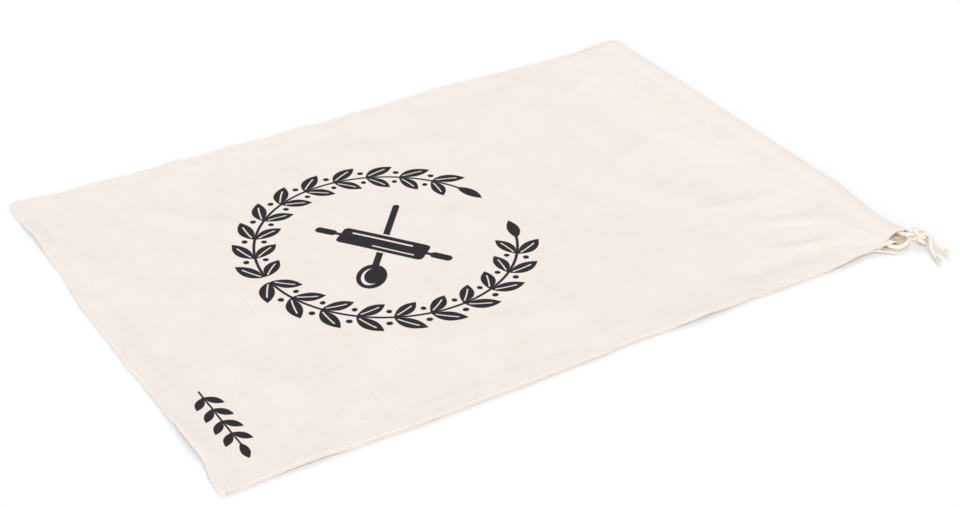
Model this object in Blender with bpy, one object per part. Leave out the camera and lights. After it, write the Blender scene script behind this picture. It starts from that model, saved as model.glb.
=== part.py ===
"""Linen bread bag, lying flat: two cloth panels with casings at the mouth, and a knotted drawstring.

X runs across the bag, Y from the bottom seam to the mouth, Z up.  The origin is on the surface that the
bag lies on, under the middle of the bag.  Everything is in metres.
"""
import math

import bmesh
import bpy
from mathutils import Matrix, Vector

# Driving sizes
BAG_WIDTH = 0.300        # side seam to side seam
BAG_LENGTH = 0.442       # bottom seam to mouth
CLOTH = 0.0010           # thickness of each layer of cloth
GAP = 0.0003             # air between pieces that touch
HEM_DEPTH = 0.027        # mouth to the stitch line of the casing
CORD = 0.0028            # drawstring, outside the knot
KNOT_CORD = 0.0017       # drawstring, squeezed in the knot
CORNER = 0.0035          # radius of the bag's corners

# Places worked out from the sizes above
HALF_WIDTH = BAG_WIDTH / 2
HALF_LENGTH = BAG_LENGTH / 2
LAYER = CLOTH + GAP                       # one layer of cloth to the next
BACK_LEVEL = CLOTH / 2                    # middle of the back cloth, over the floor
HEM_LEVEL = BACK_LEVEL + LAYER            # middle of the back hem where no cord lifts it
TUNNEL = CORD + GAP                       # how far the cord parts the two layers of a casing
BACK_RUN = 0.0175                         # mouth to the cord in the back casing
CASING_TOP = HEM_LEVEL + TUNNEL + 2 * LAYER   # middle of the front cloth over the casings
CORNER_FADE = 3 * CORNER                  # how far in a round corner shifts the cloth
LEFT_END_FADE = 1.5 * CORNER              # length over which the casing's closed end comes down
MOUTH_HELD = 1.2 * HEM_DEPTH              # the mouth's unevenness shifts the casings whole,
MOUTH_FADE = 0.080                        # and fades out over this length below them

# Shape of the casings, in from the mouth
TUNNEL_FLAT = 0.0022     # half width of the flat top over the back cord
TUNNEL_FALL = 0.0065     # width of each slope beside it
BODY_START = 0.066       # here the front cloth has come down to the body of the bag
HEM_STOP = 0.013         # the hems end this far from the left seam, where the cord turns round
LEFT_CLOSING = 0.008     # from the left seam to where the casing has its full height
OPEN_CLOSING = 0.014     # length of the right edge over which the casing's open end closes to the seam
SLOPE_STEP = 0.0001      # step over which the slope of a casing is measured

# How the front cloth lies over the back cloth
SEAM_REACH = 0.010       # from a seam to where the front cloth is clear of it
PUFF = 0.0007            # air between the cloths in the middle of the bag
PUCKER_REACH = 0.026     # length of the ridge where a seam draws the edge in
PUCKER_RISE = 0.4        # height of that ridge for each metre that the edge is drawn in
EDGE_REACH = 0.040       # how far in the outline's unevenness shifts the cloth
FOLD_FULL = 1.6          # a fold keeps its height along its middle,
FOLD_FADE = 1.3          # and fades out over its ends

# Outline of the bag.  Each row: how far along the edge, how far the edge lies out from straight.
RIGHT_EDGE = (   # along: from the bottom seam
    (0.000, 0.0000), (0.045, -0.0006), (0.078, 0.0004), (0.110, 0.0014), (0.145, 0.0010),
    (0.180, 0.0008), (0.215, 0.0003), (0.232, -0.0010), (0.250, -0.0008), (0.278, 0.0000),
    (0.297, 0.0001), (0.315, -0.0008), (0.335, -0.0001), (0.372, 0.0000), (0.386, 0.0002),
    (0.402, -0.0014), (0.413, -0.0016), (0.426, -0.0008), (0.442, -0.0020))
LEFT_EDGE = (    # along: from the bottom seam
    (0.000, 0.0022), (0.014, 0.0018), (0.025, -0.0005), (0.042, -0.0009), (0.055, -0.0005),
    (0.065, -0.0010), (0.075, -0.0024), (0.091, -0.0018), (0.104, 0.0002), (0.120, -0.0022),
    (0.142, -0.0004), (0.155, -0.0022), (0.166, -0.0028), (0.188, -0.0002), (0.205, -0.0017),
    (0.225, -0.0016), (0.236, -0.0008), (0.254, -0.0010), (0.274, 0.0007), (0.302, 0.0024),
    (0.350, 0.0000), (0.395, -0.0010), (0.442, 0.0000))
BOTTOM_EDGE = (  # along: X
    (-0.150, -0.0008), (-0.128, -0.0006), (-0.108, -0.0019), (-0.086, -0.0012), (-0.072, -0.0019),
    (-0.058, -0.0006), (-0.034, 0.0007), (0.000, 0.0004), (0.029, 0.0005), (0.053, -0.0004),
    (0.070, -0.0008), (0.095, -0.0006), (0.120, -0.0010), (0.138, 0.0014), (0.150, 0.0026))
MOUTH_EDGE = (   # along: X
    (-0.150, 0.0000), (-0.110, -0.0010), (-0.060, 0.0000), (-0.010, -0.0008), (0.040, -0.0004),
    (0.085, 0.0000), (0.108, -0.0015), (0.127, -0.0032), (0.140, -0.0018), (0.150, -0.0003))

# Stretches of edge that stand off the floor: edge, middle, half length, reach inward, height
LIFTS = (
    ("bottom", 0.106, 0.030, 0.013, 0.0020),
    ("bottom", -0.110, 0.024, 0.010, 0.0014),
    ("right", 0.045, 0.026, 0.010, 0.0010),
    ("right", 0.288, 0.030, 0.010, 0.0014),
    ("right", 0.400, 0.030, 0.016, 0.0018),
    ("left", 0.075, 0.030, 0.009, 0.0004),
    ("left", 0.160, 0.034, 0.009, 0.0004),
    ("left", 0.434, 0.026, 0.006, 0.0020),
)

# Folds and hollows of the front cloth: X and distance from the bottom of both ends, half width, height
FOLDS = (
    (0.126, 0.318, 0.138, 0.392, 0.009, -0.0007),
    (0.092, 0.378, 0.112, 0.414, 0.007, 0.0012),
    (0.118, 0.366, 0.134, 0.410, 0.006, 0.0010),
    (0.060, 0.352, 0.074, 0.404, 0.010, 0.0009),
    (-0.010, 0.344, -0.030, 0.400, 0.012, 0.0008),
    (-0.096, 0.362, -0.118, 0.402, 0.009, 0.0009),
    (-0.120, 0.050, -0.060, 0.110, 0.016, 0.0006),
    (0.050, 0.036, 0.112, 0.076, 0.016, 0.0006),
    (-0.060, 0.300, 0.070, 0.322, 0.020, -0.0005),
    (-0.104, 0.190, -0.084, 0.286, 0.018, 0.0005),
    (0.096, 0.150, 0.108, 0.250, 0.016, 0.0005),
)

# The knot: two strands laid side by side and tied as one.  One strand's way through it, in steps of the
# knot's own measures: along, across, up.
KNOT_STRAND = (
    (-3.3, -0.35, 0.10), (-2.1, 0.00, 0.85), (-0.8, 0.52, 1.42), (0.1, 0.92, 1.38),
    (0.9, 1.05, 1.00), (1.42, 0.70, 0.42), (1.58, 0.15, 0.05), (1.35, -0.42, -0.10),
    (0.75, -0.85, 0.12), (0.0, -1.08, 0.60), (-0.8, -1.10, 1.00), (-1.65, -0.95, 1.38),
    (-2.35, -0.60, 1.75), (-2.80, 0.00, 1.82), (-2.80, 0.62, 1.50), (-2.35, 1.05, 1.00),
    (-1.70, 1.12, 0.62), (-1.0, 0.95, 0.46), (-0.2, 0.45, 0.50), (0.6, 0.02, 0.80),
    (1.4, -0.25, 0.95), (2.75, -0.50, 0.80))
KNOT_STEP = Vector((0.00175, 0.0021, 0.0022))   # the measures along, across and up
KNOT_PLACE = (0.1545, 0.2221, 0.0053)
KNOT_TURN = math.radians(40)              # from X to the knot's length

# The drawstring's way outside the knot, point by point
FRONT_WAY = (
    (0.1475, 0.2148, 0.0053), (0.1410, 0.2139, 0.0052), (0.1270, 0.2133, 0.0053),
    (0.1080, 0.2150, 0.0053), (0.0850, 0.2165, 0.0053), (0.0000, 0.2160, 0.0053),
    (-0.0600, 0.2165, 0.0053), (-0.1100, 0.2156, 0.0053), (-0.1360, 0.2163, 0.0053))
LEFT_TURN = (
    (-0.1400, 0.2150, 0.0050), (-0.1424, 0.2123, 0.0044), (-0.1431, 0.2097, 0.0040),
    (-0.1424, 0.2071, 0.0036), (-0.1400, 0.2044, 0.0030))
BACK_WAY = (
    (-0.1360, 0.2032, 0.0027), (-0.1100, 0.2026, 0.0027), (-0.0600, 0.2035, 0.0027),
    (0.0000, 0.2030, 0.0027), (0.0850, 0.2035, 0.0027), (0.1080, 0.2020, 0.0027),
    (0.1270, 0.2004, 0.0027), (0.1440, 0.2020, 0.0028), (0.1494, 0.2015, 0.0030),
    (0.1529, 0.2028, 0.0030), (0.1547, 0.2060, 0.0030), (0.1545, 0.2102, 0.0032))
FRONT_TAIL = (
    (0.1620, 0.2224, 0.0056), (0.1652, 0.2206, 0.0033), (0.1700, 0.2184, 0.0023),
    (0.1768, 0.2156, 0.0021))
BACK_TAIL = ((0.1650, 0.2258, 0.0028), (0.1730, 0.2267, 0.0021))
FRAY = 1.25              # how much thicker the cord is at its frayed ends
WAY_PARTS = 24           # places read on the smooth way between two of its points
CORD_SLACK = 0.00015     # the tube's straight steps stay this close to the smooth way


# ---------------------------------------------------------------- small helpers

def ease(value):
    """0 to 1 with a smooth start and end."""
    value = min(1.0, max(0.0, value))
    return value * value * (3.0 - 2.0 * value)


def read_edge(rows, along):
    """A smooth reading of a table of (along, value) rows."""
    if along <= rows[0][0]:
        return rows[0][1]
    for (start, first), (end, second) in zip(rows, rows[1:]):
        if along <= end:
            return first + (second - first) * ease((along - start) / (end - start))
    return rows[-1][1]


def corner_cut(from_side):
    """How far a round corner draws the end of the bag back, this far from the side seam."""
    if from_side >= CORNER:
        return 0.0
    return CORNER - math.sqrt(CORNER ** 2 - (CORNER - from_side) ** 2)


def make_material(name, colour, roughness):
    material = bpy.data.materials.new(name)
    material.use_nodes = True
    shader = material.node_tree.nodes["Principled BSDF"]
    shader.inputs["Base Color"].default_value = (*colour, 1.0)
    shader.inputs["Roughness"].default_value = roughness
    shader.inputs["Metallic"].default_value = 0.0
    return material


# ---------------------------------------------------------------- where the cloth lies

def lift(x, from_bottom):
    """Height of the back cloth over the floor."""
    places = {
        "bottom": (x, from_bottom),
        "right": (from_bottom, HALF_WIDTH - x),
        "left": (from_bottom, HALF_WIDTH + x),
    }
    height = 0.0
    for edge, middle, half_length, reach, rise in LIFTS:
        along, inward = places[edge]
        height += rise * ease(1 - abs(along - middle) / half_length) * ease(1 - inward / reach)
    return height


def pucker(x, from_bottom):
    """Height of the ridges that run in from where a seam is drawn in."""
    right = read_edge(RIGHT_EDGE, from_bottom) * ease(1 - (HALF_WIDTH - x) / PUCKER_REACH)
    left = read_edge(LEFT_EDGE, from_bottom) * ease(1 - (HALF_WIDTH + x) / PUCKER_REACH)
    bottom = read_edge(BOTTOM_EDGE, x) * ease(1 - from_bottom / PUCKER_REACH)
    return -PUCKER_RISE * (right + left + bottom)


def folds(x, from_bottom):
    """Height of the soft folds and hollows."""
    height = 0.0
    for start_x, start_y, end_x, end_y, half_width, rise in FOLDS:
        span = Vector((end_x - start_x, end_y - start_y))
        place = Vector((x - start_x, from_bottom - start_y))
        share = place.dot(span) / span.length_squared
        off_line = abs(place.cross(span)) / span.length
        height += rise * ease(1 - off_line / half_width) * ease(FOLD_FULL - FOLD_FADE * abs(2 * share - 1))
    return height


def body_height(x, from_bottom):
    """Middle of the front cloth over the middle of the back cloth, in the body of the bag."""
    to_seam = min(HALF_WIDTH - abs(x), from_bottom)
    clear = ease(to_seam / SEAM_REACH)
    loose = PUFF + pucker(x, from_bottom) + folds(x, from_bottom)
    return LAYER + clear * max(loose, 0.0)


def place_on_bag(x, from_bottom):
    """The plan position of a point of the cloth, with the outline's unevenness."""
    from_side = HALF_WIDTH - abs(x)
    to_mouth = BAG_LENGTH - from_bottom
    side_rows = RIGHT_EDGE if x > 0 else LEFT_EDGE
    out = read_edge(side_rows, from_bottom) * ease(1 - from_side / EDGE_REACH)
    down = read_edge(BOTTOM_EDGE, x) * ease(1 - from_bottom / EDGE_REACH)
    down -= corner_cut(from_side) * ease(1 - from_bottom / CORNER_FADE)
    up = read_edge(MOUTH_EDGE, x) * ease(1 - (to_mouth - MOUTH_HELD) / MOUTH_FADE)
    if x < 0:
        up -= corner_cut(from_side) * ease(1 - (to_mouth - CORNER) / CORNER_FADE)
    return math.copysign(abs(x) + out, x), from_bottom - HALF_LENGTH - down + up


# ---------------------------------------------------------------- the casings, cut across

def hem_curve(to_mouth, layers_up):
    """A point of a layer over the cords: the back hem's curve, moved up square to itself."""
    def back_hem(place):
        off_cord = abs(place - BACK_RUN) - TUNNEL_FLAT
        return HEM_LEVEL + TUNNEL * ease(1 - off_cord / TUNNEL_FALL)

    rise = back_hem(to_mouth + SLOPE_STEP) - back_hem(to_mouth - SLOPE_STEP)
    slope = rise / (2 * SLOPE_STEP)
    across = math.hypot(1.0, slope)
    up = layers_up * LAYER
    return to_mouth - slope / across * up, back_hem(to_mouth) + up / across


def fold_round(outer_level, hem_level, steps):
    """The turned edge of a casing, from its outer layer to its hem: rows of (to_mouth, height)."""
    radius = abs(outer_level - hem_level) / 2
    middle = (outer_level + hem_level) / 2
    side = math.copysign(1.0, outer_level - hem_level)
    rows = []
    for step in range(steps + 1):
        angle = math.pi * step / steps
        to_mouth = radius + CLOTH / 2 - radius * math.sin(angle)
        rows.append((to_mouth, middle + side * radius * math.cos(angle)))
    return rows


BODY_ROWS = 24           # rows of cloth from the bottom seam to BODY_START
SEAM_ROWS = (0.0, 0.0015, 0.004, 0.008, 0.014, 0.023)
SLOPE_ROWS = (0.054, 0.044, 0.036, 0.031)
TUNNEL_ROWS = (0.0270, 0.0250, 0.0235, 0.0220, 0.0205, 0.0190, 0.0173)
INNER_ROWS = (0.0152, 0.0135, 0.0120, 0.0105, 0.0085, 0.0060)
TOP_ROWS = (0.0125, 0.0075)
STUB_ROW = 0.0034        # the hem's first row, which runs on to the left seam
FRONT_FOLD_STEPS = 5
BACK_FOLD_STEPS = 4
MIDDLE_COLUMNS = 18
SEAM_COLUMNS = (0.0, 0.0015, 0.004, 0.007, 0.0100, HEM_STOP, 0.022)


def body_rows():
    """Distances from the bottom seam of the rows of the body."""
    start = SEAM_ROWS[-1]
    pitch = (BAG_LENGTH - BODY_START - start) / BODY_ROWS
    return list(SEAM_ROWS) + [start + pitch * step for step in range(1, BODY_ROWS + 1)]


def columns():
    """Places across the bag, close together by the side seams."""
    left = [from_seam - HALF_WIDTH for from_seam in SEAM_COLUMNS]
    right = [-place for place in reversed(left)]
    pitch = (right[0] - left[-1]) / MIDDLE_COLUMNS
    return left + [left[-1] + pitch * step for step in range(1, MIDDLE_COLUMNS)] + right


def hem_rows(layers_up):
    """The rows of a hem, from beside the fold to its stitched edge."""
    stub = [(STUB_ROW, HEM_LEVEL + layers_up * LAYER)]
    return stub + [hem_curve(to_mouth, layers_up) for to_mouth in reversed(TUNNEL_ROWS + INNER_ROWS)]


def held_level(x, to_mouth, free_level):
    """Height of the front cloth, drawn from its free level down to the back cloth at the side seams."""
    seam_level = BACK_LEVEL + LAYER
    at_mouth = ease(1 - (to_mouth - CORNER) / LEFT_END_FADE)
    left_level = seam_level + 2 * LAYER * at_mouth
    level = left_level + (free_level - left_level) * ease((HALF_WIDTH + x) / LEFT_CLOSING)
    open_end = ease(1 - (to_mouth - HEM_DEPTH) / OPEN_CLOSING)
    right_share = max(open_end, ease((HALF_WIDTH - x) / SEAM_REACH))
    return seam_level + (level - seam_level) * right_share


def slope_level(x, to_mouth):
    """Free level of the front cloth between the body and the casing's stitch line."""
    body = BACK_LEVEL + body_height(x, BAG_LENGTH - to_mouth)
    share = ease((BODY_START - to_mouth) / (BODY_START - HEM_DEPTH))
    return body + (HEM_LEVEL + 2 * LAYER - body) * share


def front_section(x):
    """The front cloth at one place across the bag, from the bottom seam over the mouth into the hem."""
    casing = [(to_mouth, slope_level(x, to_mouth)) for to_mouth in SLOPE_ROWS]
    casing += [hem_curve(to_mouth, 2) for to_mouth in TUNNEL_ROWS]
    casing += [(to_mouth, CASING_TOP) for to_mouth in TOP_ROWS]
    rows = [(BAG_LENGTH - place, BACK_LEVEL + body_height(x, place)) for place in body_rows()]
    rows += [(to_mouth, held_level(x, to_mouth, level)) for to_mouth, level in casing]
    rows += fold_round(held_level(x, 0.0, CASING_TOP), HEM_LEVEL + LAYER, FRONT_FOLD_STEPS)
    return rows + hem_rows(1)


def back_section(x):
    """The back cloth at one place across the bag, from the bottom seam over the mouth into the hem."""
    flat = [BAG_LENGTH - place for place in body_rows()] + list(SLOPE_ROWS + TUNNEL_ROWS + TOP_ROWS)
    rows = [(to_mouth, BACK_LEVEL) for to_mouth in flat]
    return rows + fold_round(BACK_LEVEL, HEM_LEVEL, BACK_FOLD_STEPS) + hem_rows(0)


# ---------------------------------------------------------------- building the pieces

def make_panel(name, section, material):
    """A cloth of even thickness on the surface through its sections."""
    sheet = bmesh.new()
    grid = []
    for x in columns():
        line = []
        for to_mouth, level in section(x):
            from_bottom = BAG_LENGTH - to_mouth
            plan_x, plan_y = place_on_bag(x, from_bottom)
            line.append(sheet.verts.new((plan_x, plan_y, level + lift(x, from_bottom))))
        grid.append(line)
    hem_start = len(grid[0]) - len(TUNNEL_ROWS + INNER_ROWS) - 1
    full_hem = SEAM_COLUMNS.index(HEM_STOP)
    for column, (line, next_line) in enumerate(zip(grid, grid[1:])):
        end = len(line) - 1 if column >= full_hem else hem_start
        for row in range(end):
            sheet.faces.new((line[row], next_line[row], next_line[row + 1], line[row + 1]))
    bmesh.ops.delete(sheet, geom=[vert for vert in sheet.verts if not vert.link_faces], context="VERTS")
    mesh = bpy.data.meshes.new(name)
    sheet.to_mesh(mesh)
    sheet.free()
    mesh.materials.append(material)
    mesh.shade_smooth()
    panel = bpy.data.objects.new(name, mesh)
    bpy.context.collection.objects.link(panel)
    thickness = panel.modifiers.new("Cloth thickness", "SOLIDIFY")
    thickness.thickness = CLOTH
    thickness.offset = 0.0
    return panel


def knot_strands():
    """The two strands' ways through the knot, each from the bag's side to its tail."""
    first = [Vector(row) * KNOT_STEP for row in KNOT_STRAND]
    second = [Vector((-row.x, row.y, -row.z)) for row in reversed(first)]
    frame = Matrix.Translation(KNOT_PLACE) @ Matrix.Rotation(KNOT_TURN, 4, "Z")
    return [[frame @ row for row in strand] for strand in (first, second)]


def drawstring_way():
    """Every point of the drawstring's way, with the cord's diameter at it."""
    front_strand, back_strand = knot_strands()
    stretches = (
        (reversed(FRONT_TAIL), CORD),
        (reversed(front_strand), KNOT_CORD),
        (FRONT_WAY, CORD),
        (LEFT_TURN, CORD),
        (BACK_WAY, CORD),
        (back_strand, KNOT_CORD),
        (BACK_TAIL, CORD),
    )
    way = [(Vector(place), diameter) for stretch, diameter in stretches for place in stretch]
    way[0] = (way[0][0], CORD * FRAY)
    way[-1] = (way[-1][0], CORD * FRAY)
    return way


def smooth_way(way):
    """A smooth curve through all the points, read at WAY_PARTS places between each two."""
    places = [place for place, diameter in way]
    ahead = [2 * places[0] - places[1]] + places + [2 * places[-1] - places[-2]]
    read = []
    for index in range(len(places) - 1):
        before, start, end, after = ahead[index:index + 4]
        step = (end - start).length
        start_pull = (end - before) * step / (step + (start - before).length)
        end_pull = (after - start) * step / (step + (after - end).length)
        for part in range(WAY_PARTS):
            u = part / WAY_PARTS
            place = ((2 * u ** 3 - 3 * u ** 2 + 1) * start + (u ** 3 - 2 * u ** 2 + u) * start_pull
                     + (3 * u ** 2 - 2 * u ** 3) * end + (u ** 3 - u ** 2) * end_pull)
            thick = way[index][1] + (way[index + 1][1] - way[index][1]) * ease(u)
            read.append((place, thick))
    read.append(way[-1])
    return read


def off_chord(place, start, end):
    """Distance of a place from the straight line between two others."""
    chord = end - start
    return (place - start).cross(chord).length / chord.length


def thin_out(read):
    """Leave out every point that the cord's smooth way can spare."""
    kept = [0]
    for here in range(2, len(read)):
        start = kept[-1]
        between = read[start + 1:here]
        if any(off_chord(place, read[start][0], read[here][0]) > CORD_SLACK for place, thick in between):
            kept.append(here - 1)
    return [read[index] for index in kept] + [read[-1]]


def make_drawstring(material):
    """One cord: tail, knot, front casing, round inside the left seam, back casing, knot, tail."""
    points = thin_out(smooth_way(drawstring_way()))
    curve = bpy.data.curves.new("drawstring", "CURVE")
    curve.dimensions = "3D"
    curve.bevel_depth = CORD / 2
    curve.bevel_resolution = 2
    curve.use_fill_caps = True
    spline = curve.splines.new("POLY")
    spline.points.add(len(points) - 1)
    for point, (place, diameter) in zip(spline.points, points):
        point.co = (*place, 1.0)
        point.radius = diameter / CORD
    curve.materials.append(material)
    cord = bpy.data.objects.new("drawstring", curve)
    bpy.context.collection.objects.link(cord)
    return cord


def main():
    for old in list(bpy.data.objects):
        bpy.data.objects.remove(old, do_unlink=True)
    make_panel("back_panel", back_section, make_material("back cloth", (0.86, 0.79, 0.72), 0.92))
    make_panel("front_panel", front_section, make_material("front cloth", (0.89, 0.82, 0.76), 0.92))
    make_drawstring(make_material("cotton cord", (0.86, 0.77, 0.64), 0.95))


main()
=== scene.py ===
"""Linen bread bag lying flat on a pale surface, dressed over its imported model.

The cloth, its seams and casings, the twisted cotton drawstring with its knot and frayed tails, the casing
stitches, the materials, the camera and the light.  Geometry is worked out in millimetres, and turned into
metres where a mesh is made.  X runs across the bag, Y from the bottom seam to the mouth, Z up.
"""

import math

import bpy
import numpy as np
from mathutils import Matrix, Vector


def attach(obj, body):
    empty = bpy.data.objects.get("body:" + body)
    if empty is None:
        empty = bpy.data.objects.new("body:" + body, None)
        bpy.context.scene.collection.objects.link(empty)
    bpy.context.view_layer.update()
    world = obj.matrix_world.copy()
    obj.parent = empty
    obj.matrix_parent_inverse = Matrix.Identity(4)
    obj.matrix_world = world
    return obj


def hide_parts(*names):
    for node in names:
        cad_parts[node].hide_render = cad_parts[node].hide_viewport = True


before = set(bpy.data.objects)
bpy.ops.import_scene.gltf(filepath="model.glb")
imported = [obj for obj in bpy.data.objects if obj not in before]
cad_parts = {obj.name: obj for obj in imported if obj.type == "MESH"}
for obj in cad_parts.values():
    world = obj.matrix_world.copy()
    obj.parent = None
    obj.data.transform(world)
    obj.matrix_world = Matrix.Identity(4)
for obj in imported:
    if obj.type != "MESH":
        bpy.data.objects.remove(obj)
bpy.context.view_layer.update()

MM = 0.001

# ---- sizes, in millimetres

HALF_WIDTH = 150.0  # middle of the bag to a side seam
LENGTH = 442.0  # bottom seam to mouth
CLOTH = 0.50  # thickness of the cloth
LAYER = 0.62  # one layer of cloth to the next
BACK_MID = 0.28  # middle of the back cloth over the floor
LEAST_HEIGHT = 0.02  # no cloth comes closer to the floor
SEAM_ALLOWANCE = 9.5  # cloth turned in at the seams
STACK = 3 * LAYER  # four layers of cloth lie at a seam
STACK_REACH = 7.5  # they lie flat this far in from it
SEAM_REACH = 17.0  # and the front cloth lies free from here
CORNER = 3.5  # radius of the corners
EDGE_REACH = 40.0  # the outline's unevenness fades out this far in
PUFF, LEAST_PUFF = 0.75, 0.05  # how loosely the front cloth lies on the back cloth
PUCKER_REACH, PUCKER_RISE = 26.0, 0.45  # length and height of the ridges at a drawn-in seam

# The casings
HEM_DEPTH = 27.0  # mouth to the edge of the hem
HEM_LEVEL = BACK_MID + LAYER
HEM_STOP = 13.0  # the hems end this far from the left seam, where the cord turns round
# Past the mouth the hem's right side, too, takes the wrong side's painted glow of light through the cloth
HEM_GLOW_START, HEM_GLOW_FADE = 12.0, 5.0  # past the mouth, where the hem has taken the wrong side's look
STITCH_LINE = 25.4  # mouth to the casing's stitches
GROOVE, GROOVE_WIDTH = 0.16, 0.9  # how the stitches draw the front cloth in
UNDER_RISE, UNDER_WIDTH = 0.25, 2.5  # and how they lift the back cloth
BACK_RUN = 17.5  # mouth to the cord in the back casing
TUNNEL = 3.55  # how far the back cord lifts the layers over it
TUNNEL_FLAT = 2.2  # half width of the lifted cloth's top
TUNNEL_FALL = 6.5  # width of each slope beside it
RIDGE_SLACK = 0.15  # the front cloth lies this loosely over the back cord
FRONT_TOP = 7.1  # middle of the front cloth over the front cord
FRONT_CLIMB = 11.5  # it climbs over this length, from the back cord towards the mouth
BODY_START = 66.0  # mouth to where the rows of the body end
TENT_END = 64.0  # here the front cloth has come down from the casings to the body
CREASE_START, CREASE_FADE = 12.0, 8.0  # mouth to where the body's folds start to fade, and how fast
LEFT_CLOSING = 8.0  # the casing closes over this width at the left seam
OPEN_FULL = 17.0  # mouth to where the casing's open end starts to close to the seam
OPEN_CLOSING = 16.0  # and the length over which it closes
TIP_START, TIP_LENGTH = 139.5, 8.5  # along X, where the front casing's fold flattens at its open end
TIP_DROP = 1.9
TIP_REACH, TIP_FADE = 3.7, 1.8  # and how far that reaches in from the mouth
LIP_START, LIP_LENGTH = 127.0, 10.0  # along X, where the casing's turned end lifts the cloth over the cord
LIP_RISE, LIP_CLIMB = 0.36, 9.0
LIP_REACH = 12.0  # the open ends' outline fades out this far in
CALM_START, CALM_LENGTH = 96.0, 20.0  # along X, where the casing's waves die out towards its open end

# Noise in the cloth.  Each row: height, size of a cell both ways, seed.
SIDE_RIPPLE, BOTTOM_RIPPLE = (0.5, 6.5, 9.0, 3), (0.5, 7.0, 9.0, 4)
LOOSE_WAVE, LOOSE_WRINKLE = (0.34, 52, 60, 11), (0.14, 23, 27, 12)
SEAM_RIPPLE = (0.22, 9, 9, 13)
SIDE_JITTER, BOTTOM_JITTER = (0.22, 5.5, 9.0, 21), (0.2, 6.0, 9.0, 22)
CASING_WAVE, CASING_WRINKLE = (0.5, 38, 30, 31), (0.12, 12, 40, 32)
STITCH_PUCKER, PUCKER_WIDTH = (0.14, 8, 34, 33), 9.0
RIPPLE_ROW, JITTER_ROW = 40.0, 30.0  # each side seam reads its noise this far from the middle
RIPPLE_RISE, RIPPLE_REACH = 0.32, 5.0
SEAM_RIPPLE_AT, SEAM_RIPPLE_WIDTH, SEAM_RIPPLE_LEAST = 11.0, 6.0, -0.1
CASING_WAVE_RISE = 0.34

# Outline.  Each row: how far along the edge, how far the edge lies out from straight.
RIGHT_EDGE = (
    (0, 0.0), (45, -0.6), (78, 0.4), (110, 1.4), (145, 1.0), (180, 0.8), (215, 0.3), (232, -1.0),
    (250, -0.8), (278, 0.0), (297, 0.1), (315, -0.8), (335, -0.1), (372, 0.0), (386, 0.2), (402, -1.4),
    (413, -1.6), (426, -0.8), (442, -2.0))
LEFT_EDGE = (
    (0, 2.2), (14, 1.8), (25, -0.5), (42, -0.9), (55, -0.5), (65, -1.0), (75, -2.4), (91, -1.8),
    (104, 0.2), (120, -2.2), (142, -0.4), (155, -2.2), (166, -2.8), (188, -0.2), (205, -1.7), (225, -1.6),
    (236, -0.8), (254, -1.0), (274, 0.7), (302, 2.4), (350, 0.0), (395, -1.0), (442, 0.0))
BOTTOM_EDGE = (
    (-150, -0.8), (-128, -0.6), (-108, -1.9), (-86, -1.2), (-72, -1.9), (-58, -0.6), (-34, 0.7), (0, 0.4),
    (29, 0.5), (53, -0.4), (70, -0.8), (95, -0.6), (120, -1.0), (138, 1.4), (150, 2.6))
MOUTH_EDGE = (
    (-150, 0.0), (-110, -1.0), (-60, 0.0), (-10, -0.8), (40, -0.4), (65, -0.6), (85, 0.2), (108, -2.6),
    (115, -3.6), (126, -4.8), (137, -4.4), (150, -1.5))
# The casings' open ends.  Each row: in from the mouth, how far the end lies out from the side seam.
FRONT_LIP = ((0, -0.8), (2.6, -1.2), (7, -3.4), (13, -3.6), (18, -1.6), (22, 0.4), (26, 0.6), (34, 0.0))
BACK_LIP = ((0, 1.0), (4, 4.0), (9.5, 6.9), (14, 7.4), (18, 6.6), (21, 4.8), (24, 2.8), (29, 0.0))
BACK_HEM_LIP = ((0, 0.0), (8, 0.9), (18.5, 1.9), (26, 0.6), (34, 0.0))

# Stretches of edge that stand off the floor: edge, middle, half length, reach inward, height
LIFTS = (
    ("bottom", 106, 30, 13, 2.0), ("bottom", -110, 24, 10, 1.4), ("right", 45, 26, 10, 1.0),
    ("right", 288, 30, 10, 1.4), ("right", 400, 30, 16, 1.8), ("left", 75, 30, 9, 0.4),
    ("left", 160, 34, 9, 0.4), ("left", 434, 26, 6, 2.0))
# Folds and hollows: X and distance from the bottom of both ends, half width, height
FOLDS = (
    (126, 318, 138, 392, 9, -0.8), (92, 378, 112, 414, 7, 1.3), (118, 366, 134, 410, 6, 1.1),
    (60, 352, 74, 404, 10, 1.0), (-10, 344, -30, 400, 12, 0.9), (-96, 362, -118, 402, 9, 1.0),
    (-120, 50, -60, 110, 16, 0.6), (50, 36, 112, 76, 16, 0.6), (-60, 300, 70, 322, 20, -0.5),
    (-104, 190, -84, 286, 18, 0.5), (96, 150, 108, 250, 16, 0.5))
FOLD_FULL, FOLD_FADE = 1.6, 1.3  # a fold keeps its height along its middle, and fades to its ends

# The knot: one strand's way through it, in steps of the knot's own measures: along, across, up
KNOT_STRAND = (
    (-3.3, -0.35, 0.10), (-2.1, 0.00, 0.85), (-0.8, 0.52, 1.42), (0.1, 0.92, 1.38),
    (0.9, 1.05, 1.00), (1.42, 0.70, 0.42), (1.58, 0.15, 0.05), (1.35, -0.42, -0.10),
    (0.75, -0.85, 0.12), (0.0, -1.08, 0.60), (-0.8, -1.10, 1.00), (-1.65, -0.95, 1.38),
    (-2.35, -0.60, 1.75), (-2.80, 0.00, 1.82), (-2.80, 0.62, 1.50), (-2.35, 1.05, 1.00),
    (-1.70, 1.12, 0.62), (-1.0, 0.95, 0.46), (-0.2, 0.45, 0.50), (0.6, 0.02, 0.80),
    (1.4, -0.25, 0.95), (2.75, -0.50, 0.80))
KNOT_STEP = Vector((0.00175, 0.0021, 0.0022))  # its measures along, across and up
KNOT_PLACE = (0.1545, 0.2221, 0.0053)
KNOT_TURN = math.radians(40)

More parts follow.
